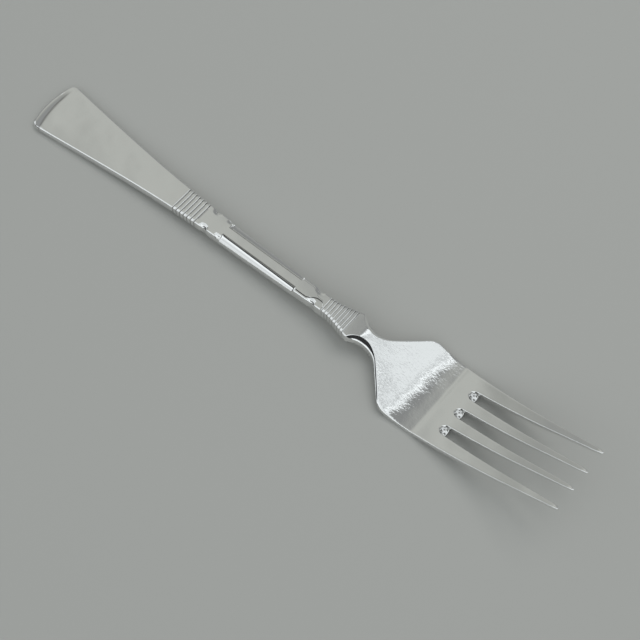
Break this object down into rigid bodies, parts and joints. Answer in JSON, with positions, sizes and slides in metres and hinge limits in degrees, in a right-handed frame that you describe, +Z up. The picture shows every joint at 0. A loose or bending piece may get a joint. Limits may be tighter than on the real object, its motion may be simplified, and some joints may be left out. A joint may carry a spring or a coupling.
{
  "type": "dinner fork",
  "caption": "One-piece table fork with a flared handle, ribbed bands, fluted stem edges, a flared collar, and upswept tines.",
  "frame": {"origin": "centre of the fork's bounding box in plan, at the height of the table it lies on", "axes": "+X along the fork from the end of the handle to the tips of the tines, +Y across it to the left of +X, +Z up from the table"},
  "size_m": [0.1908, 0.0254, 0.0171],
  "materials": {
    "silver": "polished"
  },
  "bodies": {
    "root": {"fork": "silver"}
  },
  "joints": []
}
